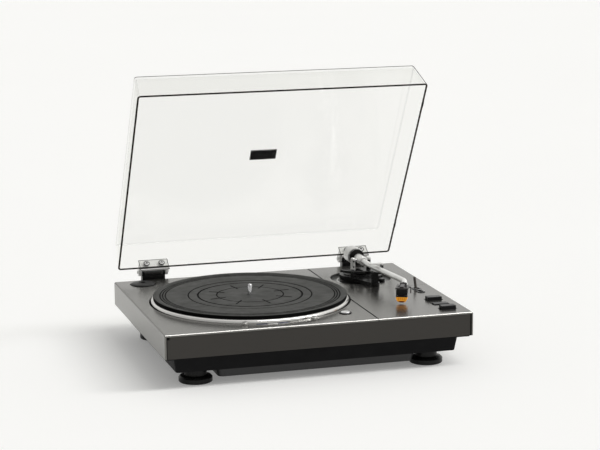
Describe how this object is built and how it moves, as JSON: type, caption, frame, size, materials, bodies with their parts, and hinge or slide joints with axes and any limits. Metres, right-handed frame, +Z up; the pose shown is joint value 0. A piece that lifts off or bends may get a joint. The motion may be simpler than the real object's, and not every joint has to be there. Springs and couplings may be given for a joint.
{
  "type": "turntable record player",
  "caption": "Direct drive record player with a curved tone arm, start button, keys and a hinged clear dust cover standing open.",
  "frame": {"origin": "bottom centre of the whole object with its cover open, on the surface it stands on", "axes": "+X to the right along the front, +Y to the back, +Z up"},
  "size_m": [0.465, 0.4048, 0.4234],
  "materials": {
    "cabinet_metal": "satin gunmetal lacquer, blurred reflections",
    "fascia_dark": "satin dark brown grey",
    "bright_trim": "polished",
    "case_plastic": "matte black, fine texture",
    "tray_steel": "black paint",
    "screw_steel": "zinc plated",
    "foot_plastic": "black, half gloss",
    "foot_rubber": "matte",
    "well_plastic": "matte black",
    "platter_metal": "turned and polished",
    "mat_rubber": "grooved, matte",
    "chrome": "polished",
    "bearing_brass": "turned",
    "motor_copper": "wound coils on a plate",
    "magnet_grey": "ground",
    "transformer_steel": "laminated core",
    "board_green": "solder mask",
    "lamp_window": "smoked clear plastic",
    "terminal_black": "black",
    "key_black": "satin black",
    "lever_grey": "dark satin",
    "adapter_black": "matte black",
    "arm_black": "black lacquer",
    "arm_silver": "satin",
    "weight_grey": "light grey lacquer",
    "headshell_grey": "dark grey satin",
    "cartridge_black": "black",
    "guard_orange": "tinted clear plastic",
    "clear_acrylic": "clear, polished edges",
    "badge_dark": "black with a bright bevel",
    "hinge_steel": "bright plated",
    "hinge_black": "matte black"
  },
  "bodies": {
    "plinth": {"platter_deck": "cabinet_metal", "tonearm_deck": "cabinet_metal", "control_deck": "cabinet_metal", "front_fascia": "fascia_dark", "trim_strip": "bright_trim", "chassis": "case_plastic", "bottom_cover": "tray_steel", "case_screws": "screw_steel", "foot_front_left": "foot_plastic", "foot_rear_left": "foot_plastic", "foot_front_right": "foot_plastic", "foot_rear_right": "foot_plastic", "foot_pads": "foot_rubber", "platter_well": "well_plastic", "bearing_housing": "bearing_brass", "motor_stator": "motor_copper", "transformer": "transformer_steel", "servo_board": "board_green", "strobe_window": "lamp_window", "phono_terminal": "terminal_black", "power_inlet": "terminal_black", "start_bezel": "well_plastic", "key_switch_block": "well_plastic", "cue_escutcheon": "bright_trim", "arm_board": "arm_silver", "arm_base": "arm_black", "arm_rest": "arm_black", "hinge_block_left": "hinge_black", "hinge_block_right": "hinge_black", "hinge_pins": "hinge_steel"},
    "turntable": {"platter": "platter_metal", "platter_mat": "mat_rubber", "spindle": "chrome", "rotor_magnet": "magnet_grey"},
    "adapter": {"adapter_45": "adapter_black"},
    "knob_33": {"pitch_knob_33": "bright_trim"},
    "knob_45": {"pitch_knob_45": "bright_trim"},
    "button": {"start_button": "chrome"},
    "rear_key": {"key_rear": "key_black"},
    "middle_key": {"key_middle": "key_black"},
    "front_key": {"key_front": "key_black"},
    "lever": {"cue_lever": "lever_grey"},
    "lift": {"lift_bar": "arm_black"},
    "antiskate": {"antiskate_knob": "arm_black"},
    "clip": {"rest_clip": "weight_grey"},
    "yoke": {"arm_yoke": "weight_grey"},
    "tonearm": {"pivot_shaft": "screw_steel", "arm_barrel": "arm_silver", "arm_tube": "arm_silver", "headshell": "headshell_grey", "cartridge": "cartridge_black"},
    "collar": {"collar_nut": "arm_silver"},
    "guard": {"stylus_guard": "guard_orange"},
    "weight": {"counterweight": "weight_grey"},
    "dial": {"force_dial": "arm_black"},
    "cover": {"dust_cover": "clear_acrylic", "lid_badge": "badge_dark", "lid_brackets": "hinge_steel", "bracket_screws": "screw_steel", "lid_bumpers": "foot_rubber"}
  },
  "joints": [
    {"name": "platter_spin", "type": "hinge", "parent": "plinth", "child": "turntable", "pos_m": [-0.06, -0.0244, 0.084], "axis": [0, 0, 1], "continuous": true},
    {"name": "adapter_lift_off", "type": "slide", "parent": "plinth", "child": "adapter", "axis": [0, 0, 1], "range_m": [0, 0.03]},
    {"name": "pitch_33_turn", "type": "hinge", "parent": "plinth", "child": "knob_33", "pos_m": [-0.1085, -0.1764, 0.084], "axis": [0, 0, 1], "range_deg": [-140, 140]},
    {"name": "pitch_45_turn", "type": "hinge", "parent": "plinth", "child": "knob_45", "pos_m": [-0.0045, -0.1764, 0.084], "axis": [0, 0, 1], "range_deg": [-140, 140]},
    {"name": "start_press", "type": "slide", "parent": "plinth", "child": "button", "axis": [0, 0, -1], "range_m": [0, 0.0012], "stiffness_N_per_m": 400, "springref_m": -0.001},
    {"name": "key_rear_press", "type": "slide", "parent": "plinth", "child": "rear_key", "axis": [0, 0, -1], "range_m": [0, 0.0038], "stiffness_N_per_m": 200, "springref_m": -0.001},
    {"name": "key_middle_release", "type": "slide", "parent": "plinth", "child": "middle_key", "axis": [0, 0, 1], "range_m": [0, 0.0038]},
    {"name": "key_front_press", "type": "slide", "parent": "plinth", "child": "front_key", "axis": [0, 0, -1], "range_m": [0, 0.0038], "stiffness_N_per_m": 200, "springref_m": -0.001},
    {"name": "cue_lever_tilt", "type": "hinge", "parent": "plinth", "child": "lever", "pos_m": [0.2035, -0.0444, 0.054], "axis": [1, 0, 0], "range_deg": [0, 40]},
    {"name": "lift_bar_rise", "type": "slide", "parent": "plinth", "child": "lift", "axis": [0, 0, 1], "range_m": [0, 0.004]},
    {"name": "antiskate_turn", "type": "hinge", "parent": "plinth", "child": "antiskate", "pos_m": [0.17, 0.0351, 0.084], "axis": [0, 0, 1], "range_deg": [0, 270]},
    {"name": "rest_clip_open", "type": "hinge", "parent": "plinth", "child": "clip", "pos_m": [0.1596, 0.0026, 0.1189], "axis": [0, 1, 0], "range_deg": [0, 110]},
    {"name": "arm_swing", "type": "hinge", "parent": "plinth", "child": "yoke", "pos_m": [0.147, 0.0686, 0.084], "axis": [0, 0, -1], "range_deg": [0, 56]},
    {"name": "arm_lift", "type": "hinge", "parent": "yoke", "child": "tonearm", "pos_m": [0.147, 0.0686, 0.113], "axis": [-1, 0, 0], "range_deg": [0, 6.8]},
    {"name": "collar_turn", "type": "hinge", "parent": "tonearm", "child": "collar", "pos_m": [0.1612, -0.0954, 0.1067], "axis": [-0.4384, -0.8988, 0], "range_deg": [0, 60]},
    {"name": "guard_flip", "type": "hinge", "parent": "tonearm", "child": "guard", "pos_m": [0.15024, -0.11787, 0.1027], "axis": [-0.8988, 0.4384, 0], "range_deg": [0, 95]},
    {"name": "counterweight_turn", "type": "hinge", "parent": "tonearm", "child": "weight", "pos_m": [0.147, 0.1066, 0.113], "axis": [0, 1, 0], "range_deg": [-180, 180]},
    {"name": "force_dial_turn", "type": "hinge", "parent": "tonearm", "child": "dial", "pos_m": [0.147, 0.0916, 0.113], "axis": [0, 1, 0], "range_deg": [-180, 180]},
    {"name": "lid_hinge", "type": "hinge", "parent": "plinth", "child": "cover", "pos_m": [0, 0.17495, 0.0936], "axis": [-1, 0, 0], "range_deg": [-58.8, 0]}
  ],
  "couplings": [
    {"joint": "lift_bar_rise", "follows": "cue_lever_tilt", "m_per_rad": 0.0057},
    {"joint": "arm_lift", "follows": "arm_swing", "ratio": 0.12}
  ]
}
